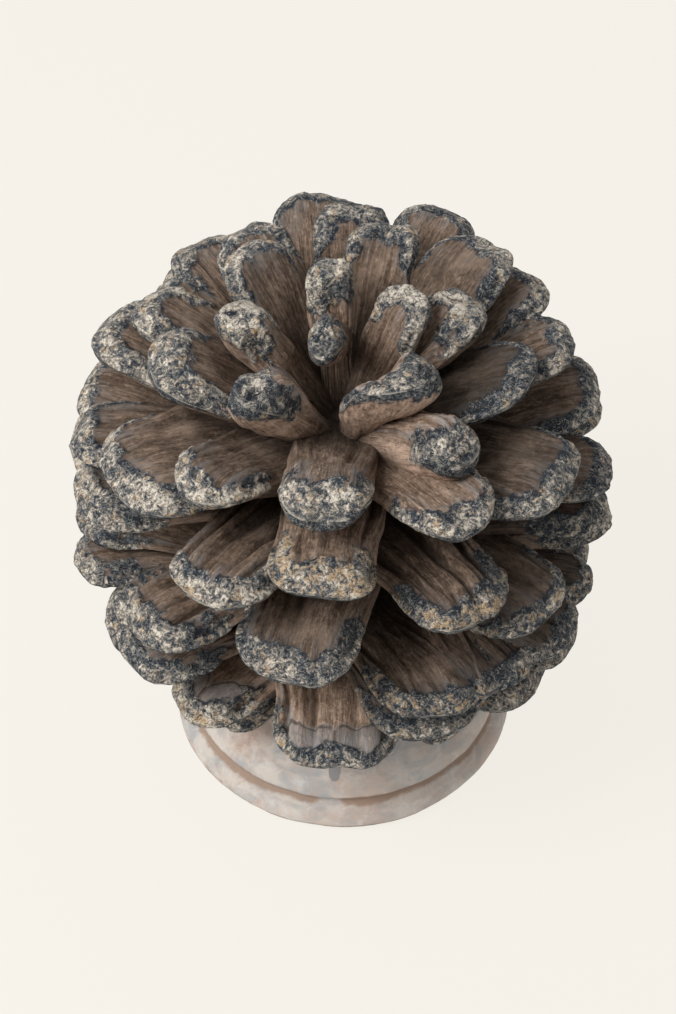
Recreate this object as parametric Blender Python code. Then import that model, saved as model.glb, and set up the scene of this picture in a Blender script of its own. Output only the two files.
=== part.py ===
"""A pine cone ornament: an open stone-pine cone standing on a turned, limewashed plinth.

Metres, +Z up. The origin is the centre of the plinth's flat underside. Azimuth 0 is +X, and the
side that is seen first, the front, is azimuth 270 (-Y). The cone is one solid, as it grew: every
scale is united with the axis that it grows from. The plinth is one turned solid under it.
"""

import math
import random

import bmesh
import bpy
import numpy as np
from mathutils import Vector

# Driving dimensions, in metres
CONE_RADIUS = 0.1375
CENTRE_HEIGHT = 0.181
PLINTH_RADIUS = 0.0915
PLINTH_HEIGHT = 0.070
SEAT_GAP = 0.0003
SEAT_RADIUS = 0.054

# Envelope of the scale tips, in cone radii: a superellipse that is flatter on top
TIP_REACH = 0.965
TIP_TOP = 0.86
TIP_BOTTOM = 0.93
TIP_POWER = 2.5

# Root height along the axis, as a share of the tip's height and an offset in cone radii
ROOT_SHARE = 0.78
ROOT_DROP = 0.19
ROOT_LOWEST = -0.68

# Scales seen from above and the front: azimuth and polar angle of the tip in degrees, width and
# thickness in mm, and the tip's distance from the centre as a share of the envelope
CROWN = (
    (247, 10, 17, 29, 1.03), (103, 15, 24, 21, 1.0), (360, 14, 30, 18, 1.04),
    (184, 22, 24, 27, 1.02), (367, 27, 35, 21, 1.02), (298, 24, 43, 20, 1.05),
    (135, 31, 40, 18, 1.02), (73, 37, 37, 14, 1.01), (230, 28, 29, 30, 1.01),
)
SHOULDER = (
    (38, 40, 49, 16, 1.08), (121, 46, 45, 16, 1.03), (307, 42, 28, 30, 0.99),
    (193, 40, 52, 20, 1.03), (163, 46, 44, 20, 1.05), (343, 42, 56, 15, 1.0),
    (88, 46, 43, 20, 1.07), (51, 52, 48, 16, 1.02), (30, 51, 47, 16, 1.04),
    (62, 51, 46, 16, 1.09), (97, 48, 49, 16, 1.1), (134, 49, 50, 16, 1.05),
    (138, 53, 42, 16, 1.02), (155, 49, 40, 16, 1.01), (265, 48, 44, 30, 1.0),
    (230, 52, 43, 20, 1.0), (366, 51, 42, 14, 1.03), (299, 55, 47, 18, 1.04),
    (167, 55, 56, 18, 1.08),
)
FLANK = (
    (5, 65, 52, 13, 1.01), (210, 60, 69, 18, 1.05), (326, 60, 66, 16, 1.04),
    (347, 73, 46, 14, 1.02), (265, 64, 50, 16, 1.0), (187, 68, 50, 16, 1.03),
    (240, 71, 50, 17, 1.0), (298, 76, 53, 16, 1.0), (200, 73, 56, 16, 1.04),
    (316, 87, 60, 14, 1.01), (348, 84, 50, 14, 1.0), (259, 86, 61, 21, 1.0),
    (189, 103, 41, 16, 1.05), (223, 93, 55, 17, 1.01), (326, 104, 55, 14, 1.02),
    (294, 103, 66, 14, 1.0), (307, 104, 58, 14, 1.0), (219, 105, 59, 16, 1.03),
    (230, 121, 44, 17, 1.0), (268, 119, 65, 13, 1.03), (292, 113, 59, 13, 1.0),
    (218, 96, 54, 16, 1.0), (349, 111, 41, 14, 1.01), (250, 100, 46, 16, 0.80),
)

# Rings of scales on the unseen back and under the cone: polar angle, first and last azimuth,
# count and width in mm; they share one thickness and reach
BACK_THICKNESS = 0.018
BACK_REACH = 1.03
BACK_RINGS = (
    (70, 32, 166, 5, 52),
    (80, 17, 178, 6, 56),
    (97, 0, 176, 7, 58),
    (112, 336, 558, 8, 56),
    (126, 322, 560, 7, 50),
    (137, 228, 306, 3, 40),
)

# Cross-section of a scale: across, and up or down, as shares of half the width and the thickness
SECTION = ((-1.0, 0.0), (-0.60, 0.28), (0.60, 0.28), (1.0, 0.0), (0.50, -0.62), (-0.50, -0.62))

# Along a scale: distance from the root, width and thickness, as shares of the whole
STATIONS = ((0.0, 0.36, 0.50), (0.42, 0.55, 0.52), (0.79, 0.96, 0.84), (0.95, 0.92, 1.0))
LIP = (1.022, 0.60, 0.60)


def clear_scene():
    for obj in list(bpy.data.objects):
        bpy.data.objects.remove(obj, do_unlink=True)


def principled(name, colour, roughness):
    material = bpy.data.materials.new(name)
    material.use_nodes = True
    shader = material.node_tree.nodes["Principled BSDF"]
    shader.inputs["Base Color"].default_value = (*colour, 1.0)
    shader.inputs["Roughness"].default_value = roughness
    shader.inputs["Metallic"].default_value = 0.0
    return material


def envelope(polar):
    """Distance from the cone's centre to a tip at this polar angle, in cone radii."""
    across = abs(math.sin(polar)) / TIP_REACH
    along = abs(math.cos(polar)) / (TIP_TOP if math.cos(polar) > 0 else TIP_BOTTOM)
    return (across**TIP_POWER + along**TIP_POWER) ** (-1 / TIP_POWER)


def tip_point(azimuth, polar, share):
    reach = share * CONE_RADIUS * envelope(polar)
    flat = reach * math.sin(polar)
    height = CENTRE_HEIGHT + reach * math.cos(polar)
    return Vector((flat * math.cos(azimuth), flat * math.sin(azimuth), height))


def scale_frame(azimuth, polar, share):
    """Root, tip, and the directions along, across and up from a scale's face."""
    tip = tip_point(azimuth, polar, share)
    rise = ROOT_SHARE * (tip.z - CENTRE_HEIGHT) - ROOT_DROP * CONE_RADIUS
    rise = max(rise, ROOT_LOWEST * CONE_RADIUS)
    root = Vector((0.0, 0.0, CENTRE_HEIGHT + rise))
    along = (tip - root).normalized()
    across = Vector((-math.sin(azimuth), math.cos(azimuth), 0.0))
    up = along.cross(across).normalized()
    if up.z < 0:
        up.negate()
    return root, tip, along, across, up


def scale_mesh(name, azimuth, polar, width, thickness, share):
    """One closed tongue, from inside the axis to a rounded lip."""
    root, tip, along, across, up = scale_frame(azimuth, polar, share)
    length = (tip - root).length
    mesh = bmesh.new()
    rings = []
    for share, wide, thick in (*STATIONS, LIP):
        middle = root + along * (length * share)
        ring = []
        for side, lift in SECTION:
            point = middle + across * (side * wide * width / 2) + up * (lift * thick * thickness)
            ring.append(mesh.verts.new(point))
        rings.append(ring)
    count = len(SECTION)
    for lower, upper in zip(rings, rings[1:]):
        for i in range(count):
            j = (i + 1) % count
            mesh.faces.new((lower[i], lower[j], upper[j], upper[i]))
    mesh.faces.new(rings[0])
    mesh.faces.new(rings[-1])
    bmesh.ops.recalc_face_normals(mesh, faces=mesh.faces)
    bmesh.ops.triangulate(mesh, faces=mesh.faces)
    data = bpy.data.meshes.new(name)
    mesh.to_mesh(data)
    mesh.free()
    return data


def all_scales():
    """Azimuth, polar angle, width, thickness and reach of every scale, in radians and metres."""
    shuffle = random.Random(7)
    for azimuth, polar, width, thickness, share in CROWN + SHOULDER + FLANK:
        yield math.radians(azimuth), math.radians(polar), width / 1000, thickness / 1000, share
    for polar, first, last, count, width in BACK_RINGS:
        for i in range(count):
            azimuth = first + (last - first) * i / (count - 1) + shuffle.uniform(-3, 3)
            lean = polar + shuffle.uniform(-3, 3)
            wide = width * shuffle.uniform(0.92, 1.08)
            turns = (math.radians(azimuth), math.radians(lean))
            yield *turns, wide / 1000, BACK_THICKNESS, BACK_REACH


def turned(name, profile, steps, material):
    """A solid of revolution about Z from (radius, height) points that run from bottom to top."""
    mesh = bmesh.new()
    rings = []
    for radius, height in profile:
        ring = []
        for k in range(steps):
            turn = 2 * math.pi * k / steps
            ring.append(mesh.verts.new((radius * math.cos(turn), radius * math.sin(turn), height)))
        rings.append(ring)
    for lower, upper in zip(rings, rings[1:]):
        for i in range(steps):
            j = (i + 1) % steps
            mesh.faces.new((lower[i], lower[j], upper[j], upper[i]))
    mesh.faces.new(list(reversed(rings[0])))
    mesh.faces.new(rings[-1])
    data = bpy.data.meshes.new(name)
    mesh.to_mesh(data)
    mesh.free()
    data.materials.append(material)
    obj = bpy.data.objects.new(name, data)
    bpy.context.scene.collection.objects.link(obj)
    return obj


def smooth(obj, degrees):
    obj.data.shade_smooth()
    obj.data.set_sharp_from_angle(angle=math.radians(degrees))


def build_cone():
    """The axis, from its flat seat on the plinth to the hollow of the crown, joined to each scale."""
    wood = principled("weathered_cone", (0.16, 0.12, 0.09), 0.85)
    seat = PLINTH_HEIGHT + SEAT_GAP
    profile = (
        (SEAT_RADIUS, seat),
        (SEAT_RADIUS + 0.004, seat + 0.008),
        (0.058, seat + 0.030),
        (0.058, CENTRE_HEIGHT - 0.030),
        (0.040, CENTRE_HEIGHT + 0.020),
        (0.012, CENTRE_HEIGHT + 0.070),
    )
    cone = turned("pine_cone", profile, 24, wood)
    helpers = bpy.data.collections.new("scale_bodies")
    bpy.context.scene.collection.children.link(helpers)
    for index, place in enumerate(all_scales()):
        name = f"scale_body_{index:02d}"
        body = bpy.data.objects.new(name, scale_mesh(name, *place))
        body.hide_render = True
        body.display_type = "WIRE"
        helpers.objects.link(body)
    join = cone.modifiers.new("join_scales", "BOOLEAN")
    join.operation = "UNION"
    join.solver = "EXACT"
    join.operand_type = "COLLECTION"
    join.collection = helpers
    join.use_self = True
    smooth(cone, 40)
    return cone


def arc(centre, radius, first, last, steps):
    """Points on a circle in the (radius, height) plane, between two angles in degrees."""
    for k in range(steps + 1):
        turn = math.radians(first + (last - first) * k / steps)
        yield centre[0] + radius * math.cos(turn), centre[1] + radius * math.sin(turn)


def plinth_profile():
    """Round bottom rim, a narrow groove, then a bell that rises to the seat."""
    rim = 0.0110
    groove_radius = 0.0870
    groove_height = 0.0178
    groove_depth = 0.0016
    yield from arc((PLINTH_RADIUS - 0.003, 0.003), 0.003, -90, 0, 2)
    yield from arc((groove_radius - rim * 0.4, groove_height - 0.0035 - rim * 0.9), rim, 8, 62, 4)
    yield groove_radius - groove_depth, groove_height - 0.0015
    yield groove_radius - groove_depth - 0.0006, groove_height + 0.0012
    yield groove_radius - 0.0012, groove_height + 0.0032
    for k in range(1, 7):
        rise = k / 6
        blend = 0.5 - 0.5 * math.cos(math.pi * rise**0.85)
        yield groove_radius - 0.0012 - blend * 0.026, groove_height + 0.0032 + rise * 0.0485


def build_plinth():
    lime = principled("limewashed_plinth", (0.56, 0.51, 0.47), 0.8)
    plinth = turned("plinth", list(plinth_profile()), 48, lime)
    smooth(plinth, 35)
    return plinth


clear_scene()
build_cone()
build_plinth()
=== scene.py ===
import math

import bpy
import numpy as np
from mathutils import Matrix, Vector


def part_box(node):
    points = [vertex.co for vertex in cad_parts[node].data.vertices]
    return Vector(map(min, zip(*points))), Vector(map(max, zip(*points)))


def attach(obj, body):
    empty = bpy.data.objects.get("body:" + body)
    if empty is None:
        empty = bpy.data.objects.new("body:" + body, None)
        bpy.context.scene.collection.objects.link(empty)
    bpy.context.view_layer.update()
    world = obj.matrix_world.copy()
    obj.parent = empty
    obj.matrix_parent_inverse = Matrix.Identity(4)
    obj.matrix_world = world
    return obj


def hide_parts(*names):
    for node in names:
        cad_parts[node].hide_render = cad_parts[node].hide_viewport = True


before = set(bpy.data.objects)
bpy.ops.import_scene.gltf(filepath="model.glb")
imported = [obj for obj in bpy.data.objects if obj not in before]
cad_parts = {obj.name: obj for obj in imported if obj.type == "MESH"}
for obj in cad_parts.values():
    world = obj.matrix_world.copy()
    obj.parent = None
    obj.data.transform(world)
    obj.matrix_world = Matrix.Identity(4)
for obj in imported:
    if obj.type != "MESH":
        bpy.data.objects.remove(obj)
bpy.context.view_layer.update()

# Pine cone ornament on a turned, limewashed plinth. Metres, +Z up, the front is -Y.
# Each scale is a surface worked out on a grid; scales that sit together make one piece.

coneLow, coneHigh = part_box("pine_cone")
plinthLow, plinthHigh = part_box("plinth")
crustRoom = 0.9971        # leaves room for the crust that stands out from the tips
coneRadius = crustRoom * ((coneHigh.x - coneLow.x) + (coneHigh.y - coneLow.y)) / 4
seatHeight = plinthHigh.z
print("frame loaded, cone radius", round(coneRadius, 4))

# where the tips of the scales lie, in cone radii: a superellipse that is flatter on top
envelope = {
    "centreAboveSeat": 0.797,
    "reach": 0.968,
    "top": 0.864,
    "bottom": 0.934,
    "power": 2.5,
    "rootShare": 0.78,
    "rootDrop": 0.19,
    "rootLowest": -0.68,
}
centreHeight = seatHeight + envelope["centreAboveSeat"] * coneRadius


def smooth(low, high, value):
    # 0 below low, 1 above high, and a cubic ease between them
    t = np.clip((value - low) / (high - low), 0, 1)
    return t * t * (3 - 2 * t)


latticeSize = 64
lattice = np.random.default_rng(11).random((latticeSize, latticeSize, latticeSize))


def noise(x, y, z):
    # value noise: random numbers on a cubic lattice, blended smoothly between its corners, -1 to 1
    x, y, z = np.broadcast_arrays(x, y, z)
    total = np.zeros(x.shape)
    cells = [np.floor(c).astype(int) for c in (x, y, z)]
    eased = [c - f for c, f in zip((x, y, z), cells)]
    eased = [f * f * f * (f * (f * 6 - 15) + 10) for f in eased]
    for corner in range(8):
        bits = [(corner >> k) & 1 for k in range(3)]
        weight = np.ones(x.shape)
        for bit, f in zip(bits, eased):
            weight = weight * (f if bit else 1 - f)
        index = [(c + bit) % latticeSize for c, bit in zip(cells, bits)]
        total += weight * lattice[index[0], index[1], index[2]]
    return total * 2 - 1


def noiseOn(surface, scale):
    # the noise at the points of a surface, with this many lattice cells to a metre
    return noise(surface[..., 0] * scale, surface[..., 1] * scale, surface[..., 2] * scale)


# Azimuth and polar angle of each tip in degrees, and the tip's width in millimetres. What
# follows is where this scale differs from the others of its group.
crown = [
    (248, 11, 16, {
        "reach": 1.02, "thick": 0.028, "root": 0.8, "middle": 0.85, "umbo": 1.0, "rise": 0.40,
        "back": 0.30, "taper": 0.30, "keel": 0.1, "full": 0.06, "curl": 0.15, "paint": -0.5,
        "band": 0.0015,
    }),
    (103, 15, 24, {
        "thick": 0.019, "root": 0.72, "middle": 0.60, "lift": 0.02, "tone": 0.8, "paint": 0.2,
        "band": 0.009, "dish": -0.04, "notch": 0.002, "notchSide": 0.3,
    }),
    (360, 14, 30, {
        "reach": 1.04, "thick": 0.018, "roll": -35, "dish": 0.10, "paint": 0.7, "tone": 0.3,
        "band": 0.008,
    }),
    (184, 22, 24, {
        "reach": 1.02, "thick": 0.027, "roll": 18, "middle": 0.7, "rise": 0.22, "paint": 0.9,
        "full": 0.10, "tone": 0.3, "slit": 0.5, "slitSide": -0.1,
    }),
    (367, 27, 35, {
        "reach": 1.02, "thick": 0.021, "dish": 0.10, "roll": -12, "paint": 0.5, "band": 0.010,
        "tone": 0.2,
    }),
    (298, 24, 43, {
        "reach": 1.05, "thick": 0.020, "dish": 0.20, "rise": 0.12, "roll": -14, "umbo": 0.8,
        "umboSide": -0.50, "umboWide": 0.40, "taper": 0.1, "slant": -0.45, "tone": 0.8,
        "paint": -0.4, "band": 0.0015,
    }),
    (135, 31, 40, {"reach": 1.02, "thick": 0.018, "dish": 0.13, "tone": -0.3, "paint": 0.3}),
    (73, 37, 37, {
        "reach": 1.01, "thick": 0.014, "dish": 0.10, "sag": 0.36, "notch": 0.003,
        "notchSide": 0.1,
    }),
    (230, 28, 29, {
        "reach": 1.01, "thick": 0.031, "umbo": 1.2, "middle": 0.7, "roll": 12, "rise": 0.15,
        "full": 0.06, "tone": 0.6, "paint": -0.2, "slit": 1.3, "slitSide": -0.28, "band": 0.002,
    }),
]
shoulder = [
    (38, 40, 49, {"reach": 1.08, "dish": 0.10, "tone": -0.35, "paint": -0.4}),
    (121, 46, 45, {"reach": 1.03, "dish": 0.10, "paint": -0.1}),
    (307, 42, 28, {
        "reach": 0.99, "thick": 0.030, "middle": 0.90, "root": 0.7, "umbo": 0.9, "dish": -0.06,
        "shank": 0.85, "full": 0.08, "tone": 0.5, "paint": -0.4, "sag": 0.30, "curl": 0.15,
        "band": 0.0015, "furrow": 0.0012,
    }),
    (193, 40, 52, {"reach": 1.03, "thick": 0.020, "band": 0.009, "tone": -0.1, "paint": -0.15}),
    (163, 46, 44, {"reach": 1.05, "thick": 0.020, "band": 0.006, "paint": 0.2}),
    # this face is made much darker: painted shadow from the crown scales above it
    (343, 42, 56, {"dish": 0.08, "thick": 0.015, "tone": -0.72, "paint": -1.2, "band": 0.006}),
    (88, 46, 43, {"reach": 1.07, "thick": 0.020, "band": 0.010, "paint": -0.2}),
    (51, 52, 48, {"reach": 1.02, "paint": -0.2}), (30, 51, 47, {"reach": 1.04, "paint": -0.2}),
    (62, 51, 46, {"reach": 1.09, "paint": -0.3}), (97, 48, 49, {"reach": 1.1, "paint": -0.1}),
    (134, 49, 50, {"reach": 1.05}), (138, 53, 42, {"reach": 1.02}), (155, 49, 40, {"reach": 1.01}),
    (265, 48, 42, {
        "thick": 0.027, "root": 0.7, "middle": 1.0, "dish": -0.02, "sagPower": 3.0, "sag": 0.16,
        "taper": 0.50, "curl": 0.12, "band": 0.001, "keel": 0.3, "full": 0.10, "paint": 0.2,
    }),
    (230, 52, 43, {"thick": 0.020, "tone": -0.3, "paint": 0.6, "middle": 0.95}),
    (366, 51, 42, {"reach": 1.03, "thick": 0.014, "paint": -0.4}),
    (299, 55, 47, {"reach": 1.04, "thick": 0.018, "tone": 0.40, "paint": -0.1, "middle": 0.90}),
    (167, 55, 56, {"reach": 1.08, "thick": 0.018, "band": 0.008, "paint": 0.1}),
]
flank = [
    (5, 65, 52, {"reach": 1.01, "thick": 0.013, "tone": -0.2, "paint": -0.3}),
    (210, 60, 69, {"reach": 1.05, "thick": 0.018, "paint": 0.25}),
    (326, 60, 66, {"reach": 1.04, "tone": -0.45, "paint": -0.45}),
    (347, 73, 46, {"reach": 1.02, "thick": 0.014, "paint": -0.3}),
    (265, 64, 50, {
        "dish": -0.02, "sagPower": 3.2, "sag": 0.26, "root": 0.8, "middle": 1.0, "curl": 0.45,
        "paint": 0.7, "ochre": 1.2, "tone": 0.2, "band": 0.006,
    }),
    (187, 68, 50, {"reach": 1.03, "paint": 0.1}),
    (240, 71, 50, {"thick": 0.017, "furrow": 0.0020, "tone": 0.05, "paint": 0.25}),
    (298, 76, 53, {
        "furrow": 0.0026, "tone": -0.15, "paint": -0.25, "ochre": 1.1, "root": 1.0, "middle": 1.2,
    }),
    (200, 73, 56, {"reach": 1.04, "paint": 0.15}),
    (316, 87, 60, {"reach": 1.01, "thick": 0.014, "tone": -0.2, "paint": -0.3}),
    (348, 84, 50, {"thick": 0.014, "tone": -0.4, "paint": -0.5}),
    (259, 86, 61, {
        "thick": 0.021, "taper": 0.45, "tone": -0.15, "paint": -0.6, "furrow": 0.0016,
        "sagPower": 3.0, "band": 0.006,
    }),
    (189, 103, 41, {"reach": 1.05, "paint": -0.1}),
    (223, 93, 55, {"reach": 1.01, "thick": 0.017, "furrow": 0.0024, "paint": -0.1}),
    (326, 104, 55, {"reach": 1.02, "thick": 0.014, "tone": -0.4, "paint": -0.5}),
    (294, 103, 66, {
        "furrow": 0.0034, "thick": 0.014, "tone": -0.1, "paint": -0.45, "ochre": 1.1,
        "root": 1.0, "middle": 1.15,
    }),
    (307, 104, 58, {"thick": 0.014, "tone": -0.5, "paint": -0.6}),
    (219, 105, 59, {"reach": 1.03, "paint": -0.4}),
    (230, 121, 44, {"thick": 0.017, "tone": 0.6, "paint": 0.7, "wings": 1.0}),
    (268, 119, 65, {
        "reach": 1.03, "furrow": 0.0020, "dish": -0.03, "thick": 0.013, "tone": 0.9, "paint": -0.2,
        "wings": 0.9,
    }),
    (292, 113, 59, {"thick": 0.013, "tone": -0.3, "paint": -0.5}), (218, 96, 54, {"paint": -0.2}),
    (349, 111, 41, {"reach": 1.01, "thick": 0.014, "tone": -0.4, "paint": -0.5}),
    (250, 100, 46, {"reach": 0.80, "tone": -0.4, "paint": -0.5}),
]
# polar angle, first and last azimuth, count and width of the rings behind and underneath
backRings = [
    (70, 32, 166, 5, 52), (80, 17, 178, 6, 56), (97, 0, 176, 7, 58), (112, 336, 558, 8, 56),
    (126, 322, 560, 7, 50), (137, 228, 306, 3, 40),
]

# how a scale is shaped, by where it grows: lengths in metres, soft in passes of smoothing, and
# the rest in shares
anyScale = {
    "reach": 1.0,        # tip's distance from the cone's centre, as a share of the envelope
    "back": 0.0,         # how far behind the axis the scale starts, in cone radii
    "roll": 0.0,         # degrees about its own length
    "bow": 0.01, "lift": 0.0,                                  # an arch, and an upturned end
    "lean": 0.18, "full": 0.06, "taper": 0.32, "keel": 0.30,   # the wall and the underside
    "curl": 0.34, "curlWidth": 0.009, "soft": 5,               # how the face rolls over its edge
    "band": 0.0045, "furrow": 0.0008,
    "umbo": 0.0, "umboSide": 0.0, "umboWide": 0.9,             # a ringed boss on the end wall
    "slit": 0.0, "slitSide": 0.0,                              # a dark crack in the end wall
    "slant": 0.0, "notch": 0.0, "notchSide": 0.0,              # thicker on a side, cut back in m
    "wings": 0.0,                                              # two rounded marks behind the lip
    # the first of these makes a whole face lighter or darker: partly the scale's own tone, partly
    # painted light and shade for scales that lie in the light or in others' shadow
    "tone": 0.0, "paint": 0.0, "ochre": 0.0,                   # lighter or darker face and lip
}
scaleShapes = {
    "crown": {
        **anyScale, "root": 0.50, "middle": 0.62, "sag": 0.46, "sagPower": 2.2, "thick": 0.019,
        "shank": 0.55, "dish": 0.05, "furrow": 0.0005, "rise": 0.24, "lean": 0.12,
    },
    "shoulder": {
        **anyScale, "root": 0.55, "middle": 0.88, "sag": 0.42, "sagPower": 2.4, "thick": 0.016,
        "shank": 0.50, "dish": 0.05, "bow": 0.0, "rise": 0.30,
    },
    "flank": {
        **anyScale, "root": 0.85, "middle": 1.06, "sag": 0.38, "sagPower": 2.5, "thick": 0.016,
        "shank": 0.48, "dish": 0.01, "bow": 0.02, "lift": -0.01, "furrow": 0.0014, "rise": None,
        "lean": 0.20, "band": 0.004,
    },
}


def tipPoint(azimuth, polar, reachShare):
    # the superellipse |across/a|^p + |along/b|^p = 1 in the upright plane at this azimuth
    across = abs(math.sin(polar)) / envelope["reach"]
    side = envelope["top"] if math.cos(polar) > 0 else envelope["bottom"]
    along = abs(math.cos(polar)) / side
    power = envelope["power"]
    reach = reachShare * coneRadius * (across**power + along**power) ** (-1 / power)
    flat = reach * math.sin(polar)
    return np.array([
        flat * math.cos(azimuth), flat * math.sin(azimuth), centreHeight + reach * math.cos(polar),
    ])


def scaleAxes(azimuth, polar, shape, roll):
    # a line from the axis to the tip: root, length, and the unit directions along, across and up
    tip = tipPoint(azimuth, polar, shape["reach"])
    rise = envelope["rootShare"] * (tip[2] - centreHeight) - envelope["rootDrop"] * coneRadius
    if shape["rise"] is not None:
        rise = min(rise, shape["rise"] * coneRadius)
    rise = max(rise, envelope["rootLowest"] * coneRadius)
    root = np.array([0.0, shape["back"] * coneRadius, centreHeight + rise])
    along = tip - root
    length = np.linalg.norm(along)
    along = along / length
    if shape["back"]:
        azimuth = math.atan2(along[1], along[0])
    across = np.array([math.sin(azimuth), -math.cos(azimuth), 0.0])
    up = np.cross(across, along)
    turned = math.cos(roll) * across + math.sin(roll) * up
    return root, length, along, turned, np.cross(turned, along)


def ringGrid(faceCount, wallCount, underCount):
    # Once round a scale: down one side, across the face, down the other side, back underneath.
    # Gives the place across the face, the share down the side wall, and 1 where it is on top.
    wall = np.linspace(0, 1, wallCount)
    face = np.linspace(-1, 1, faceCount)
    under = np.linspace(1, -1, underCount)[1:-1]
    across = np.concatenate([-np.ones(wallCount - 1), face, np.ones(wallCount - 1), under])
    down = np.concatenate([wall[:0:-1], 0 * face, wall[1:], 0 * under])
    isTop = np.concatenate([np.ones(faceCount + 2 * wallCount - 2), 0 * under])
    return across[None, :], down[None, :], isTop[None, :]


def alongGrid(faceCount, wallCount):
    # from the root to the edge of the face, closer together there, then down the end wall
    t = np.linspace(0, 1, faceCount)
    face = 0.35 * t + 0.65 * np.sin(t * math.pi / 2)
    wall = np.linspace(0, 1, wallCount)[1:]
    run = np.concatenate([face, np.ones(wallCount - 1)])
    down = np.concatenate([0 * face, wall])
    return run[:, None], down[:, None]


def blur(surface, topCount, times):
    # softens crisp edges: each point moves half way to the mean of its neighbours, first round
    # the ring and then along; beyond the last ring comes the underside's point below it
    underCount = surface.shape[1] - topCount
    share = np.linspace(underCount + 1, 0, topCount).round().astype(int) - 1
    opposite = topCount + np.clip(share, 0, underCount - 1)
    for _ in range(times):
        beside = np.roll(surface, 1, axis=1) + np.roll(surface, -1, axis=1)
        surface = 0.5 * surface + 0.25 * beside
        softer = surface.copy()
        softer[1:-1] = 0.5 * surface[1:-1] + 0.25 * (surface[:-2] + surface[2:])
        beside = surface[-2, :topCount] + surface[-2, opposite]
        softer[-1, :topCount] = 0.5 * surface[-1, :topCount] + 0.25 * beside
        surface = softer
    return surface


def fillet(distance, radius):
    # the height of a rounded edge at this distance from it, 0 at the edge and 1 past the radius
    t = 1 - np.clip(distance / radius, 0, 1)
    return np.maximum(1 - t**2.2, 0) ** (1 / 2.2)


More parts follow.
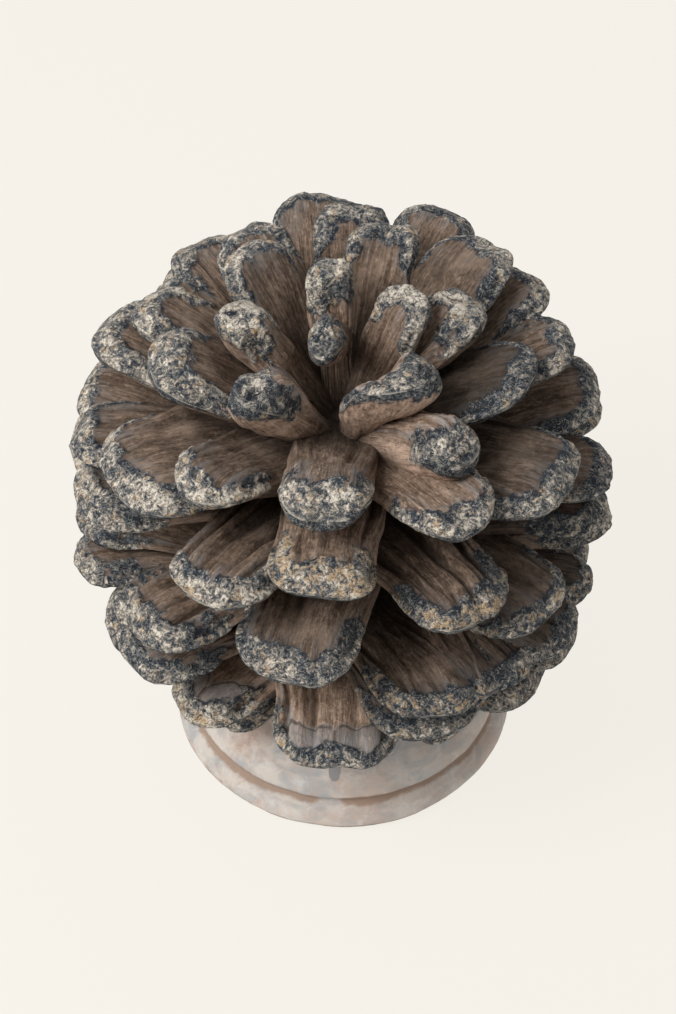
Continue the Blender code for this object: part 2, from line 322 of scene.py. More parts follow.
def scaleSurface(azimuth, polar, width, shape, seed, counts):
    # One scale as a closed tube of rings: a smooth face that curls down to its outline, a wall
    # that leans outwards, and a keeled underside. The plan is a shank with straight sides that
    # widens to a superellipse, |across/b|^p + |ahead/a|^p = 1, its columns spaced by its angle.
    draw = np.random.default_rng(seed)
    wobble = draw.uniform(-1, 1, 10)
    roll = math.radians(shape["roll"] + 4 * wobble[0])
    root, length, alongAxis, acrossAxis, upAxis = scaleAxes(azimuth, polar, shape, roll)
    turn, sideDown, top = ringGrid(*counts[:3])
    run, endDown = alongGrid(*counts[3:])
    offset = 7.0 * seed
    power = shape["sagPower"]
    bend = turn * math.pi / 2
    side = np.sign(turn) * np.abs(np.sin(bend)) ** (2 / power)
    forward = np.maximum(np.cos(bend), 0) ** (2 / power)

    thick = shape["thick"] * (shape["shank"] + (1 - shape["shank"]) * smooth(0.40, 0.92, run))
    thick = thick * (1 + 0.06 * wobble[1])
    body = thick * (1 - shape["taper"] * np.abs(side) ** 2.5 * smooth(0.4, 0.9, run))
    body = body * (1 + shape["slant"] * side * smooth(0.5, 0.95, run))
    lean = shape["lean"] * shape["thick"] * smooth(0.3, 0.85, run)
    wide = shape["root"] + (shape["middle"] - shape["root"]) * smooth(0.05, 0.5, run)
    wide = wide + (1 - shape["middle"]) * smooth(0.38, 0.84, run)
    ripple = noise(run * 4, np.sign(side) * 3 + offset, 0.5)
    half = (width / 2 - lean) * wide * (1 + 0.05 * ripple)
    edge = length - lean[-1, 0]
    reach = shape["sag"] * width
    skew = 0.10 * wobble[6]
    end = smooth(0.50, 1.0, run)
    x = run * edge - reach * end * (1 - forward) - skew * reach * end * side
    x = x + 0.0020 * end * noise(side * 2.2 + offset, 3.0, wobble[2])
    x = x - shape["notch"] * end * np.exp(-(((side - shape["notchSide"]) / 0.16) ** 2))
    y = half * side

    # walls: outwards along the plan normal, and fuller half way down
    across = np.abs(side) ** (power - 1) * reach
    ahead = forward ** (power - 1) * half
    size = np.maximum(np.hypot(across, ahead), 1e-6)
    normalX = np.where(sideDown > 0, 0.0, ahead / size)
    normalY = np.where(sideDown > 0, 1.0, across / size) * np.sign(side)
    lower = np.where(top > 0.5, np.maximum(sideDown, endDown), 1.0)
    full = shape["full"] * thick * np.sin(math.pi * np.where(top > 0.5, lower, 0))
    outwards = lean * lower + full
    inner = np.where(top > 0.5, 1.0, np.abs(side))
    x = x + outwards * normalX * np.where(endDown > 0, 1.0, smooth(0.85, 1.0, run))
    y = y + outwards * inner * np.where(top > 0.5, normalY, np.sign(side))

    sideGap = (1 - np.abs(side)) * half
    frontGap = (1 - run) * edge * np.maximum(ahead / size, 0.12)
    closeness = 1 / np.maximum(sideGap, 1e-5) ** 3 + 1 / np.maximum(frontGap, 1e-5) ** 3
    gap = (1 / np.maximum(closeness, 1e-9)) ** (1 / 3)
    strong = 0.25 + 0.75 * smooth(0.45, 0.85, run)
    curl = np.where(lower * top > 0, 1.0, 1 - fillet(gap, shape["curlWidth"])) * strong
    keel = fillet(sideGap, 0.8 * half) * fillet((1 - run) * edge + 0 * side, 0.012)
    hollow = shape["dish"] * (1 + 0.3 * wobble[3]) * width * (side**2 - 0.3) * smooth(0.25, 0.85, run)
    drop = shape["curl"] * thick
    floor = 0.78 * body
    fall = np.where(top > 0.5, drop * curl + (floor - drop * curl) * lower, floor)
    z = 0.30 * thick + hollow - fall - np.where(top > 0.5, 0, shape["keel"] * body * keel)
    z = z + shape["bow"] * length * np.sin(math.pi * run)
    z = z + shape["lift"] * length * smooth(0.7, 1.0, run) ** 2
    z = z + 0.0016 * noise(side * 1.3 + offset, run * 3.5, 4.0) * smooth(0.3, 0.7, run)
    surface = root + x[..., None] * alongAxis + y[..., None] * acrossAxis + z[..., None] * upAxis
    surface = blur(surface, int(top.sum()), shape["soft"])

    # the rough band: all of the end wall, the side walls near it, and a ragged strip of face
    ragged = 0.0020 * noiseOn(surface, 230)
    ragged = ragged + 0.0012 * noiseOn(surface, 600)
    tipZone = (1 - smooth(0.60, 0.86, run)) * 0.03
    outline = np.minimum(frontGap, sideGap + tipZone)
    band = shape["band"] * (1 + 0.4 * wobble[4] + 0.6 * noise(side * 1.9 + offset, 8.0, 2.0))
    band = band * (0.30 + 0.80 * smooth(0.05, 0.8, ahead / size))
    onTop = smooth(band + 0.0022, band - 0.0016, outline + ragged)
    onSide = smooth(0.82, 0.95, run + ragged * 30 + 0 * side)
    onTop = np.where(sideDown > 0, onSide, np.where(endDown > 0, 1.0, onTop))
    lip = np.where(top > 0.5, onTop, smooth(0.93, 0.99, run + ragged * 10 + 0 * side))
    lip[-1, :] = 1

    # relief along the surface normal: furrows on the face, crust and rings on the lip
    around = np.roll(surface, -1, axis=1) - np.roll(surface, 1, axis=1)
    onward = np.gradient(surface, axis=0)
    normal = np.cross(around, onward)
    normal = normal / np.maximum(np.linalg.norm(normal, axis=2, keepdims=True), 1e-12)
    normal = normal * np.sign((normal[20, int(top.sum()) // 2] * upAxis).sum())
    furrow = noise(side * 6 + offset, run * 2.0, 9.0) + 0.6 * noise(side * 15 + offset, run * 3.0, 5.0)
    furrow = furrow + 0.35 * noise(side * 34 + offset, run * 5.0, 2.0)
    deep = -np.maximum(noise(side * 8 + offset, run * 1.8, 14.0) - 0.15, 0) * 2.4
    strength = np.where((top > 0.5) & (sideDown == 0), shape["furrow"], 0.0002)
    relief = strength * (furrow + deep) * (1 - 0.8 * lip) * smooth(0.1, 0.4, run)
    # painted shade: the face is darker in its deeper furrows
    groove = smooth(0.1, 1.5, -(furrow + deep)) * smooth(0.0, 0.003, strength) * (top > 0.5)
    crust = noiseOn(surface, 300)
    crust = crust + 0.6 * noiseOn(surface, 680)
    relief = relief + lip * (0.0002 + 0.00042 * crust)
    lump = noiseOn(surface, 95)
    relief = relief + 0.0008 * lump * smooth(0.2, 0.6, run)
    blank = np.zeros(gap.shape)
    pit = blank
    if shape["umbo"]:
        # a low boss on the end wall, then a trough and a raised ring that follow its outline
        aside = (side - shape["umboSide"]) / shape["umboWide"]
        out = np.hypot(aside, (endDown - 0.5) / 0.5)
        out = out * (1 + 0.10 * noise(side * 2 + offset, endDown * 2, 1.0))
        rings = smooth(0.32, 0.05, out) - smooth(0.17, 0.0, np.abs(out - 0.45))
        rings = rings + 0.5 * smooth(0.22, 0.0, np.abs(out - 0.78))
        onEnd = smooth(0.02, 0.12, endDown) * top
        relief = relief + shape["umbo"] * 0.0012 * rings * onEnd
        pit = 0.8 * smooth(0.17, 0.03, np.abs(out - 0.45)) * onEnd
    if shape["slit"]:
        # a short crack down the middle of the end wall
        aside = side - shape["slitSide"] + 0.10 * noise(endDown * 4, offset, 3.0)
        cut = smooth(0.16, 0.02, np.abs(aside)) * smooth(0.34, 0.16, np.abs(endDown - 0.45)) * top
        relief = relief - shape["slit"] * 0.0030 * cut
        pit = np.maximum(pit, 1.6 * cut)
    surface = surface + relief[..., None] * normal

    # masks for the finish: how deep into the lip, the two rounded marks, and the lip's low edge
    into = band - outline + 0.8 * shape["thick"] * lower
    core = smooth(0.0004, 0.0045, into) * smooth(0.98, 0.70, lower) * (top > 0.5)
    beside = (np.abs(side) - 0.42) / 0.44
    mark = np.hypot(beside, (frontGap - band) / 0.013)
    wing = 0.45 * smooth(1.0, 0.85, mark) + smooth(0.14, 0.03, np.abs(mark - 1))
    wing = shape["wings"] * np.clip(wing, 0, 1) * (top > 0.5) * (sideDown == 0)
    low = smooth(0.80, 0.98, lower) * top * smooth(0.5, 0.8, run)
    near = smooth(0.017, 0.003, outline) * (sideDown == 0) * top
    columns = {
        "lip": lip,
        "rim": low,
        "near": near,
        "under": np.where(top > 0.5, (sideDown > 0.25) * 1.0, 1.0) + blank,
        # painted shade: each face darkens from its edge towards its root at the axis, where the scales
        # lie deep
        "rootShade": smooth(0.02, 0.80, run) + blank,
        "pit": pit,
        "core": core,
        "wing": wing,
        "groove": groove,
        "tone": shape["tone"] + 0.08 * wobble[7] + blank,
        "paint": shape["paint"] + 0.10 * wobble[8] + blank,
        "ochre": shape["ochre"] + blank,
    }
    # grain coordinates: round the scale, along it, and a different place for each scale
    wrap = side * width / 2 + np.sign(side) * np.where(top > 0.5, sideDown, 0) * shape["thick"]
    grain = np.stack(np.broadcast_arrays(wrap, x, offset * 0.013 + 0 * y), axis=-1)
    return surface, columns, grain


def ringFaces(rows, ring, topCount):
    # quads between rings and one face over the root; at the tip the underside's last row meets
    # the end wall's last ring, which has several points to each one underneath
    index = np.arange(rows * ring).reshape(rows, ring)
    after = np.roll(index, -1, axis=1)
    quads = np.stack([index[:-1], after[:-1], after[1:], index[1:]], axis=-1)
    underCount = ring - topCount + 1
    step = (topCount - 1) // underCount
    low = np.append(index[-2, topCount - 1:], index[-2, 0])
    tip = index[-1, topCount - 1::-1]
    run = step * np.arange(underCount)[:, None] + np.arange(step, -1, -1)
    closing = np.column_stack([low[:-1], low[1:], tip[run]])
    return [quads[:-1].reshape(-1, 4), quads[-1, :topCount - 1], closing, index[:1, ::-1]]


def addAttribute(mesh, name, values, kind="FLOAT"):
    # one number at each point, or one vector with kind FLOAT_VECTOR
    layer = mesh.attributes.new(name, kind, "POINT")
    key = "value" if kind == "FLOAT" else "vector"
    layer.data.foreach_set(key, values.astype(np.float32).ravel())


def buildMesh(name, parts, topCount):
    # several scales as one mesh, with their masks and grain coordinates as point attributes
    groups = []
    start = 0
    for surface, _, _ in parts:
        rows, ring = surface.shape[:2]
        groups.extend(group + start for group in ringFaces(rows, ring, topCount))
        start += rows * ring
    points = np.concatenate([surface.reshape(-1, 3) for surface, _, _ in parts])
    used = np.zeros(len(points), bool)
    for group in groups:
        used[group] = True
    renumber = np.cumsum(used) - 1
    faces = []
    for group in groups:
        faces.extend(renumber[group].tolist())
    mesh = bpy.data.meshes.new(name)
    mesh.from_pydata(points[used].tolist(), [], faces)
    for key in parts[0][1]:
        values = np.concatenate([masks[key].ravel() for _, masks, _ in parts])
        addAttribute(mesh, key, values[used])
    grains = np.concatenate([grain.reshape(-1, 3) for _, _, grain in parts])
    addAttribute(mesh, "grain", grains[used], "FLOAT_VECTOR")
    mesh.validate()
    mesh.shade_smooth()
    return mesh


def addPiece(name, mesh, material, node):
    # every piece stands for its node and stays with the one body
    piece = bpy.data.objects.new(name, mesh)
    bpy.context.scene.collection.objects.link(piece)
    mesh.materials.append(material)
    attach(piece, "root")
    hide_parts(node)


class Nodes:
    # a short way to add a node, set its plain inputs and link the others
    def __init__(self, name):
        self.material = bpy.data.materials.new(name)
        self.material.use_nodes = True
        self.tree = self.material.node_tree
        self.shader = self.tree.nodes["Principled BSDF"]

    def add(self, kind, inputs=None, out=0, **settings):
        made = self.tree.nodes.new("ShaderNode" + kind)
        for key, value in settings.items():
            setattr(made, key, value)
        for key, value in (inputs or {}).items():
            self.put(made, key, value)
        return made.outputs[out]

    def put(self, made, key, value):
        socket = made.inputs[key]
        if isinstance(value, bpy.types.NodeSocket):
            self.tree.links.new(value, socket)
        else:
            socket.default_value = value

    def attribute(self, name, out="Fac"):
        return self.add("Attribute", out=out, attribute_name=name)

    def math(self, operation, a, b=0.0):
        return self.add("Math", {0: a, 1: b}, operation=operation)

    def times(self, a, b):
        return self.math("MULTIPLY", a, b)

    def plus(self, a, b):
        return self.math("ADD", a, b)

    def minus(self, a, b):
        return self.math("SUBTRACT", a, b)

    def nearTo(self, value, at, wide, narrow):
        # 1 where the value is at this level, falling to 0 at the wider distance from it
        return self.ramp(wide, narrow, self.math("ABSOLUTE", self.minus(value, at)))

    def ramp(self, low, high, value):
        # 0 at low, 1 at high, with an eased step between them
        return self.add(
            "MapRange", {"Value": value, "From Min": low, "From Max": high},
            interpolation_type="SMOOTHSTEP",
        )

    def mix(self, factor, a, b):
        # colour a where the factor is 0 and colour b where it is 1
        made = self.tree.nodes.new("ShaderNodeMix")
        made.data_type = "RGBA"
        for key, value in ((0, factor), (6, a), (7, b)):
            self.put(made, key, value)
        return made.outputs[2]

    def blend(self, value, stops):
        made = self.tree.nodes.new("ShaderNodeValToRGB")
        self.put(made, 0, value)
        band = made.color_ramp
        while len(band.elements) < len(stops):
            band.elements.new(0.5)
        for element, (at, colour) in zip(band.elements, stops):
            element.position = at
            element.color = colour
        return made.outputs[0]

    def noise(self, vector, scale, detail=3.0, rough=0.55, swirl=0.0):
        inputs = {"Vector": vector, "Scale": scale, "Detail": detail, "Roughness": rough}
        return self.add("TexNoise", {**inputs, "Distortion": swirl})

    def stretch(self, vector, scale):
        return self.add("Mapping", {"Vector": vector, "Scale": scale})


def coneMaterial():
    tint = {
        # the darkest tint is both the dark of fibres and marks and the colour of the painted shade
        "darkBrownAndShade": (0.024, 0.0155, 0.0105, 1), "brown": (0.112, 0.074, 0.051, 1),
        "taupe": (0.205, 0.144, 0.106, 1), "pale": (0.44, 0.335, 0.265, 1),
        "smoke": (0.140, 0.145, 0.152, 1), "navy": (0.014, 0.020, 0.030, 1),
        "ochre": (0.44, 0.27, 0.11, 1), "rose": (0.32, 0.225, 0.172, 1),
        "lime": (0.66, 0.61, 0.53, 1),
    }
    # the lip's colour at each level: navy, slate, grey, buff, cream
    crustStops = (
        (0.30, (0.014, 0.020, 0.030, 1)), (0.42, (0.050, 0.066, 0.085, 1)),
        (0.50, (0.140, 0.142, 0.142, 1)), (0.58, (0.34, 0.295, 0.245, 1)),
        (0.72, (0.72, 0.66, 0.57, 1)),
    )
    # brown fibrous faces, with painted shade in the furrows and towards the axis, and flaking painted
    # lips
    n = Nodes("weatheredCone")
    lip = n.attribute("lip")
    grain = n.attribute("grain", "Vector")
    place = n.add("TexCoord", out="Object")
    fibre = n.noise(n.stretch(grain, (1000, 150, 90)), 1.0, 4.0, 0.75)
    streak = n.noise(n.stretch(grain, (300, 22, 90)), 1.0, 5.0, 0.65)
    blotch = n.noise(place, 50, 4.0, 0.6)
    fine = n.noise(place, 900, 4.0, 0.75)
    clump = n.noise(place, 270, 5.0, 0.68, 1.0)
    patch = n.noise(place, 85, 3.0, 0.6)
    face = n.mix(n.ramp(0.36, 0.62, streak), tint["brown"], tint["taupe"])
    under = n.mix(n.ramp(0.38, 0.62, streak), tint["taupe"], tint["rose"])
    face = n.mix(n.attribute("under"), face, under)
    mottle = n.plus(n.times(fibre, 0.6), n.times(clump, 0.4))
    face = n.mix(n.times(n.ramp(0.52, 0.38, mottle), 0.75), face, tint["darkBrownAndShade"])
    face = n.mix(n.times(n.ramp(0.51, 0.64, mottle), 0.6), face, tint["pale"])
    face = n.mix(n.times(n.ramp(0.48, 0.75, blotch), 0.35), face, tint["pale"])
    # painted shade in the deeper furrows
    face = n.mix(n.times(n.attribute("groove"), 0.8), face, tint["darkBrownAndShade"])
    smear = n.times(n.attribute("near"), n.ramp(0.42, 0.62, streak))
    face = n.mix(n.times(smear, 0.6), face, tint["smoke"])
    wing = n.attribute("wing")
    face = n.mix(n.times(n.ramp(0.0, 0.45, wing), 0.45), face, tint["smoke"])
    face = n.mix(n.times(n.ramp(0.50, 0.95, wing), 0.75), face, tint["darkBrownAndShade"])
    # a whole face lighter or darker: partly the scale's own tone, partly painted light and shade
    bright = n.plus(1.0, n.attribute("tone"))
    face = n.add("HueSaturation", {"Color": face, "Value": bright})
    # painted shade: the face goes to the darkest tint towards its root at the axis
    face = n.mix(n.attribute("rootShade"), tint["darkBrownAndShade"], face)

    # the lip: cream flakes on blue-grey, fewer along its borders, more on some scales
    level = n.plus(n.times(fine, 0.55), n.times(clump, 1.4))
    level = n.minus(level, 0.575)
    level = n.plus(level, n.times(n.minus(patch, 0.5), 0.60))
    level = n.plus(level, n.times(n.attribute("paint"), 0.08))
    level = n.plus(level, n.times(n.attribute("core"), 0.14))
    crust = n.blend(level, crustStops)

    # over it: tawny dirt on the flakes, dark veins, limy creases, a limy lower edge and dark cracks
    tawny = n.plus(n.noise(place, 150, 4.0, 0.6), n.times(n.attribute("ochre"), 0.10))
    dirt = n.times(n.ramp(0.54, 0.64, tawny), n.ramp(0.47, 0.58, level))
    crust = n.mix(n.times(dirt, 0.65), crust, tint["ochre"])
    vein = n.noise(place, 240, 3.0, 0.6, 1.6)
    vein = n.nearTo(vein, 0.5, 0.028, 0.004)
    crust = n.mix(n.times(vein, 0.8), crust, tint["navy"])
    crease = n.noise(n.stretch(place, (1.0, 1.0, 1.3)), 190, 3.0, 0.6, 2.0)
    crease = n.nearTo(crease, 0.46, 0.020, 0.004)
    crust = n.mix(n.times(crease, 0.55), crust, tint["lime"])
    line = n.times(n.attribute("rim"), n.ramp(0.42, 0.60, n.noise(place, 110, 3.0, 0.6)))
    crust = n.mix(n.times(line, 0.75), crust, tint["lime"])
    crack = n.times(n.attribute("pit"), n.ramp(0.66, 0.50, clump))
    crust = n.mix(crack, crust, tint["navy"])
    edge = n.times(n.ramp(0.05, 0.35, lip), n.ramp(0.99, 0.70, lip))
    edge = n.times(edge, n.ramp(0.47, 0.60, n.noise(place, 130, 3.0, 0.6)))
    crust = n.mix(edge, crust, tint["navy"])

    worn = n.plus(lip, n.times(n.minus(fine, 0.5), 0.9))
    colour = n.mix(n.ramp(0.20, 0.75, worn), face, crust)
    n.put(n.shader, "Base Color", colour)
    n.put(n.shader, "Roughness", n.minus(0.92, n.times(lip, 0.2)))
    n.put(n.shader, "Specular IOR Level", 0.35)
    flake = n.plus(fine, n.times(clump, 1.6))
    flake = n.minus(flake, n.times(vein, 0.5))
    height = n.mix(lip, n.times(mottle, 1.2), flake)
    bump = n.add("Bump", {"Strength": 1.0, "Distance": 0.0010, "Height": height})
    n.put(n.shader, "Normal", bump)
    return n.material


def limewashMaterial():
    tint = {
        "lime": (0.52, 0.475, 0.435, 1), "grey": (0.34, 0.345, 0.35, 1),
        "wood": (0.26, 0.175, 0.125, 1), "pink": (0.46, 0.355, 0.30, 1),
        "chalk": (0.66, 0.65, 0.63, 1), "drip": (0.21, 0.21, 0.215, 1),
    }
    # brushed limewash with pinkish clouds and chalky dabs, bare wood where it is worn, painted shade
    # where the worn mask darkens the key lamp's side, and a drip
    n = Nodes("limewash")
    wash = n.attribute("wash", "Vector")
    place = n.add("TexCoord", out="Object")
    brush = n.noise(wash, 1.0, 6.0, 0.65, 0.6)
    cloud = n.noise(place, 34, 5.0, 0.65, 0.5)
    dab = n.noise(place, 75, 5.0, 0.7, 1.0)
    speck = n.noise(place, 300, 5.0, 0.7)
    colour = n.mix(n.ramp(0.36, 0.60, brush), tint["grey"], tint["lime"])
    colour = n.mix(n.times(n.ramp(0.42, 0.66, cloud), 0.75), colour, tint["pink"])
    colour = n.mix(n.times(n.ramp(0.50, 0.70, dab), 0.35), colour, tint["chalk"])
    colour = n.mix(n.times(n.ramp(0.47, 0.36, dab), 0.30), colour, tint["grey"])
    worn = n.plus(n.attribute("worn"), n.times(n.minus(cloud, 0.5), 1.2))
    worn = n.plus(worn, n.times(n.minus(speck, 0.5), 0.7))
    colour = n.mix(n.times(n.ramp(0.25, 0.80, worn), 0.85), colour, tint["wood"])
    stain = n.plus(n.attribute("drip"), n.times(n.minus(speck, 0.5), 0.5))
    colour = n.mix(n.times(n.ramp(0.30, 0.70, stain), 0.85), colour, tint["drip"])
    n.put(n.shader, "Base Color", colour)
    n.put(n.shader, "Roughness", n.plus(0.62, n.times(speck, 0.3)))
    n.put(n.shader, "Specular IOR Level", 0.3)
    height = n.plus(n.plus(brush, speck), dab)
    bump = n.add("Bump", {"Strength": 0.5, "Distance": 0.0006, "Height": height})
    n.put(n.shader, "Normal", bump)
    return n.material


coneFinish = coneMaterial()
limewashFinish = limewashMaterial()
print("materials made")

# points across the face, down a side wall and across the underside, then along the face and
# down the end wall; the face has a whole number of steps to each one underneath
seenCounts = (57, 9, 25, 58, 18)
backCounts = (31, 6, 21, 34, 11)


def scaleParts(rows, shapeName, firstSeed, counts):
    # one surface for each row, with the group's shape changed by the row's own values
    made = []
    for seed, (azimuth, polar, width, own) in enumerate(rows, firstSeed):
        place = (math.radians(azimuth), math.radians(polar), width / 1000)
        shape = {**scaleShapes[shapeName], **own}
        made.append(scaleSurface(*place, shape, seed, counts))
    return made


def backScales():
    # evenly spaced rings, each scale moved and sized a little at random
    draw = np.random.default_rng(5)
    rows = []
    for polar, first, last, count, width in backRings:
        for azimuth in np.linspace(first, last, count):
            shift = draw.uniform(-3, 3, 2)
            size = width * draw.uniform(0.92, 1.08)
            rows.append((azimuth + shift[0], polar + shift[1], size, {"reach": 1.03}))
    return rows


def addScaleGroup(name, rows, shapeName, seed, counts):
    topCount = counts[0] + 2 * counts[1] - 2
    mesh = buildMesh(name, scaleParts(rows, shapeName, seed, counts), topCount)
    addPiece(name, mesh, coneFinish, "pine_cone")
    print(name, len(rows), "scales", len(mesh.polygons), "faces")


addScaleGroup("crown_scales", crown, "crown", 1, seenCounts)
for part, rows in enumerate((shoulder[:7], shoulder[7:13], shoulder[13:])):
    addScaleGroup(f"shoulder_scales_{part + 1}", rows, "shoulder", 20 + 10 * part, seenCounts)
for part, rows in enumerate((flank[:8], flank[8:16], flank[16:])):
    addScaleGroup(f"flank_scales_{part + 1}", rows, "flank", 60 + 10 * part, seenCounts)
# the rings behind make one piece, and those underneath another
unseen = backScales()
addScaleGroup("back_scales", unseen[:18], "flank", 100, backCounts)
addScaleGroup("lower_scales", unseen[18:], "flank", 130, backCounts)


def turnedSurface(profile, steps):
    # a profile of (radius, height) points carried round Z
    turn = np.linspace(0, 2 * math.pi, steps, endpoint=False)[:, None]
    radius = profile[None, :, 0]
    height = profile[None, :, 1]
    x = radius * np.cos(turn)
    y = radius * np.sin(turn)
    return np.stack([x, y, height + 0 * turn], axis=-1), turn


def turnedMesh(name, surface, columns, vectorName, vectors):
    # quads between the turned rings, and one face over each end
    steps, rows = surface.shape[:2]
    index = np.arange(steps * rows).reshape(steps, rows)
    after = np.roll(index, -1, axis=0)
    quads = np.stack([index[:, :-1], after[:, :-1], after[:, 1:], index[:, 1:]], axis=-1)
    faces = quads.reshape(-1, 4).tolist()
    faces.append(index[::-1, 0].tolist())
    faces.append(index[:, -1].tolist())
    mesh = bpy.data.meshes.new(name)
    mesh.from_pydata(surface.reshape(-1, 3).tolist(), [], faces)
    for key, values in columns.items():
        addAttribute(mesh, key, values)
    addAttribute(mesh, vectorName, vectors, "FLOAT_VECTOR")
    mesh.validate()
    mesh.shade_smooth()
    return mesh


# radii of the axis from its seat upwards, and how high it ends above the centre, in cone radii;
# the gap between it and the plinth is in metres
axis = {
    "seat": 0.386, "foot": 0.39758, "waist": 0.30, "neck": 0.20, "shoulder": 0.15, "end": 0.085,
    "hollow": 0.30, "seatGap": 0.0003,
}


def addAxis():
    # the woody axis that the scales grow from, from its seat on the plinth to the crown's hollow
    heights = np.linspace(0, 1, 60)
    top = centreHeight + axis["hollow"] * coneRadius
    seat = seatHeight + axis["seatGap"]
    height = seat + heights * (top - seat)
    marks = np.array([0, 0.06, 0.35, 0.72, 0.93, 1.0])
    widths = [axis[key] for key in ("seat", "foot", "waist", "neck", "shoulder", "end")]
    radius = np.interp(heights, marks, widths) * coneRadius
    surface, turn = turnedSurface(np.stack([radius, height], axis=1), 120)
    lump = noiseOn(surface, 120) * smooth(0, 0.05, heights)[None, :]
    outward = np.stack([np.cos(turn), np.sin(turn), 0 * turn], axis=-1)
    surface = surface + (0.002 * lump)[..., None] * outward
    blank = np.zeros(surface.shape[:2])
    names = ("lip", "rim", "near", "under", "pit", "core", "wing", "groove", "tone", "paint", "ochre")
    # the axis lies deep inside, so it takes mostly the painted shade colour
    columns = {**{key: blank for key in names}, "rootShade": blank + 0.15}
    grain = np.stack([turn * 0.04 + blank, surface[..., 2], blank], axis=-1)
    mesh = turnedMesh("cone_axis", surface, columns, "grain", grain)
    addPiece("cone_axis", mesh, coneFinish, "pine_cone")


addAxis()
print("axis made")

plinthRadius = (plinthHigh.x - plinthLow.x) / 2
plinthShape = {
    "rim": 0.0110, "grooveRadius": 0.940, "grooveHeight": 0.0178, "grooveDepth": 0.0018,
    "bell": 0.026, "foot": 0.003,
    "dripSide": -0.0045, "dripEnd": -0.0825,   # x of the drip, and y where it stops
    # the second angle also marks where the wash is darker on the side the key lamp lights: partly bare
    # wood there, partly painted shade that tones down the lamp
    "paintedAt": 265, "wornAndShadedAt": 212,           # where the groove is painted over, the wash worn
}


def plinthProfile():
    # quarter-round foot, an arc for the rim, half a sine wave for the groove, then a bell that
    # draws in as a cosine ease on its way up to the seat
    shape = plinthShape
    groove = plinthRadius * shape["grooveRadius"]
    gh = shape["grooveHeight"]
    rim = shape["rim"]
    pieces = [np.array([[0.0005, 0.0]])]
    turn = np.radians(np.linspace(-90, 0, 8))
    foot = shape["foot"]
    pieces.append(np.stack([
        plinthRadius - 0.0012 - foot + foot * np.cos(turn), foot + foot * np.sin(turn),
    ], axis=1))
    turn = np.radians(np.linspace(8, 62, 22))
    pieces.append(np.stack([
        groove - rim * 0.4 + rim * np.cos(turn), gh - 0.0035 - rim * 0.9 + rim * np.sin(turn),
    ], axis=1))
    t = np.linspace(0.08, 1, 12)
    dip = np.sin(math.pi * t) ** 0.8
    pieces.append(np.stack([
        groove - 0.0010 - shape["grooveDepth"] * dip, gh - 0.0018 + 0.0050 * t,
    ], axis=1))
    rise = np.linspace(0.02, 1, 60)
    blend = 0.5 - 0.5 * np.cos(math.pi * rise**0.85)
    top = seatHeight - gh - 0.0032
    pieces.append(np.stack([
        groove - 0.0012 - blend * shape["bell"], gh + 0.0032 + rise * top,
    ], axis=1))
    pieces.append(np.array([[0.0005, seatHeight]]))
    return np.concatenate(pieces)


def addPlinth():
    # the profile carried round Z, roughened a little, with its worn places, painted shade on the key
    # lamp's side and the drip as masks
    profile = plinthProfile()
    surface, turn = turnedSurface(profile, 360)
    radius, height = profile[:, 0], profile[:, 1]
    run = np.concatenate([[0], np.cumsum(np.hypot(np.diff(radius), np.diff(height)))])
    inside = smooth(0.02, 0.03, radius)[None, :] * smooth(0.0, 0.001, height)[None, :]
    wave = noiseOn(surface, 60)
    fine = noiseOn(surface, 300)
    outward = np.stack([np.cos(turn), np.sin(turn), 0 * turn], axis=-1)
    surface = surface + (inside * (0.0004 * wave + 0.00012 * fine))[..., None] * outward
    gh = plinthShape["grooveHeight"]
    inGroove = smooth(0.0052, 0.0006, np.abs(height - gh - 0.0004)) * (radius > 0.06)
    foot = smooth(0.010, 0.001, height) * (radius > 0.06)
    painted = smooth(0.12, 0.05, np.abs(turn - math.radians(plinthShape["paintedAt"])))
    # darker round the key lamp's side: partly bare wood showing through, partly painted shade that
    # tones down the lamp's light
    side = smooth(0.9, 0.2, np.abs(turn - math.radians(plinthShape["wornAndShadedAt"])))
    worn = 0.9 * inGroove[None, :] * (1.0 - 0.7 * painted) + 0.50 * foot[None, :] + 0.10 * wave
    worn = worn + 0.34 * side
    # a dull drip that ran down the bell, in front, and narrows towards its end
    aside = np.abs(surface[..., 0] - plinthShape["dripSide"])
    above = surface[..., 1] - plinthShape["dripEnd"]
    spread = 0.0010 + 0.0018 * smooth(-0.0020, 0.0035, above)
    drip = smooth(spread + 0.0016, spread - 0.0004, aside) * smooth(-0.0010, 0.0010, above)
    drip = drip * (surface[..., 1] < -0.060) * (surface[..., 2] > gh)
    wash = np.stack([
        4.0 * np.cos(turn) + 0 * run[None, :], 4.0 * np.sin(turn) + 0 * run[None, :],
        run[None, :] * 90 + 0 * turn,
    ], axis=-1)
    mesh = turnedMesh("plinth_turned", surface, {"worn": worn, "drip": drip}, "wash", wash)
    addPiece("plinth_turned", mesh, limewashFinish, "plinth")


addPlinth()
print("plinth made")

studio = {
    "elevation": 46.0,
    "distance": 8.0,       # in cone radii
    "lens": 76.7,
    "shiftX": -0.0050,
    "shiftY": -0.0286,
    "warm": (1.0, 0.985, 0.96),
    "cool": (0.96, 0.98, 1.0),
    "surround": 0.55,      # strength of the even light from all round
    "floorHalf": 3.0,
    "floorSteps": 41,
    "floorDrop": 0.0002,
    "floorGlow": 0.84,
}


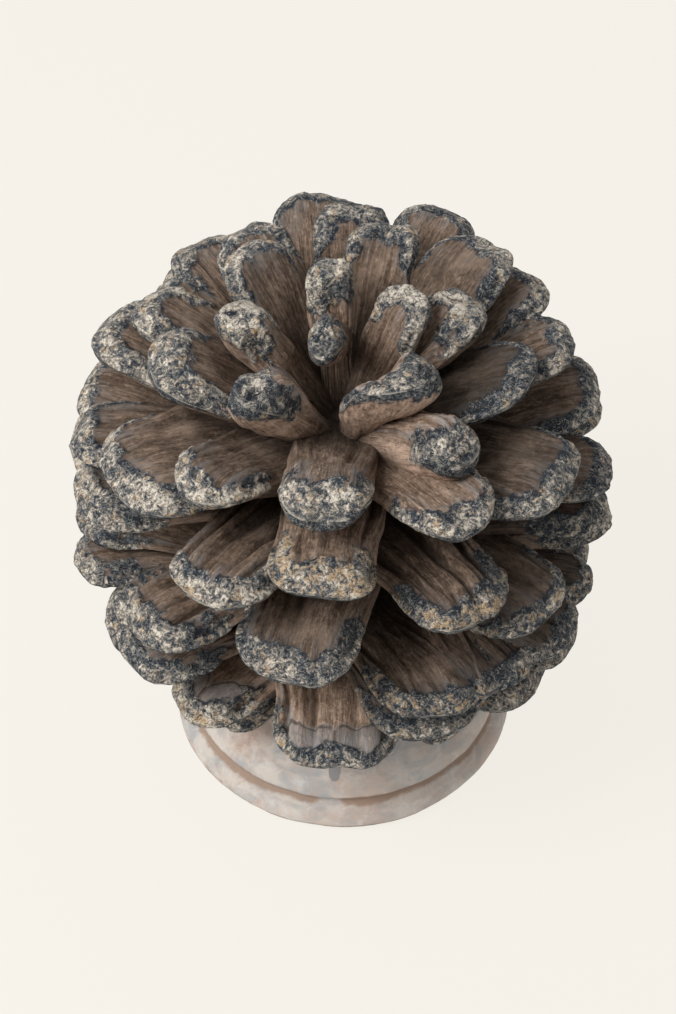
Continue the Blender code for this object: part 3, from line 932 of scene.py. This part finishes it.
def addFloor():
    # a wide flat ground on a grid, which glows a little so that it stays evenly pale
    side = np.linspace(-studio["floorHalf"], studio["floorHalf"], studio["floorSteps"])
    x, y = np.meshgrid(side, side, indexing="ij")
    z = np.full(x.shape, -studio["floorDrop"])
    index = np.arange(x.size).reshape(x.shape)
    quads = np.stack([index[:-1, :-1], index[1:, :-1], index[1:, 1:], index[:-1, 1:]], axis=-1)
    mesh = bpy.data.meshes.new("floor")
    points = np.stack([x, y, z], axis=-1).reshape(-1, 3)
    mesh.from_pydata(points.tolist(), [], quads.reshape(-1, 4).tolist())
    n = Nodes("paleFloor")
    cloud = n.noise(n.add("TexCoord", out="Object"), 2.0, 2.0, 0.5)
    n.put(n.shader, "Base Color", n.mix(cloud, (0.060, 0.058, 0.056, 1), (0.066, 0.064, 0.061, 1)))
    n.put(n.shader, "Emission Color", (1.0, 0.965, 0.895, 1))
    n.put(n.shader, "Emission Strength", studio["floorGlow"])
    n.put(n.shader, "Roughness", 0.9)
    n.put(n.shader, "Specular IOR Level", 0.1)
    mesh.materials.append(n.material)
    floor = bpy.data.objects.new("floor", mesh)
    bpy.context.scene.collection.objects.link(floor)


def addCamera():
    # in front and above, looking down at the cone's centre
    lean = math.radians(studio["elevation"])
    away = studio["distance"] * coneRadius
    data = bpy.data.cameras.new("camera")
    camera = bpy.data.objects.new("camera", data)
    bpy.context.scene.collection.objects.link(camera)
    camera.location = (0, -away * math.cos(lean), centreHeight + away * math.sin(lean))
    camera.rotation_euler = (math.pi / 2 - lean, 0, 0)
    data.sensor_fit = "VERTICAL"
    data.sensor_height = 36
    data.lens = studio["lens"]
    data.shift_x = studio["shiftX"]
    data.shift_y = studio["shiftY"]
    data.clip_start = 0.05
    bpy.context.scene.camera = camera


def addLight(name, power, size, azimuth, elevation, distance, colour):
    # a square lamp that faces the cone's centre; angles in degrees
    data = bpy.data.lights.new(name, "AREA")
    data.energy = power
    data.size = size
    data.color = colour
    lamp = bpy.data.objects.new(name, data)
    bpy.context.scene.collection.objects.link(lamp)
    a, e = math.radians(azimuth), math.radians(elevation)
    target = Vector((0, 0, centreHeight))
    spot = Vector((math.cos(e) * math.cos(a), math.cos(e) * math.sin(a), math.sin(e)))
    lamp.location = target + distance * spot
    lamp.rotation_euler = (-spot).to_track_quat("-Z", "Y").to_euler()


addFloor()
addCamera()
addLight("key", power=30, size=0.9, azimuth=210, elevation=46, distance=1.7, colour=studio["warm"])
addLight("fill", power=4, size=1.4, azimuth=100, elevation=60, distance=1.8, colour=studio["cool"])
world = bpy.data.worlds.new("studio")
bpy.context.scene.world = world
world.use_nodes = True
background = world.node_tree.nodes["Background"]
background.inputs["Color"].default_value = (*studio["warm"], 1)
background.inputs["Strength"].default_value = studio["surround"]
bpy.context.scene.view_settings.view_transform = "Standard"
print("studio made")
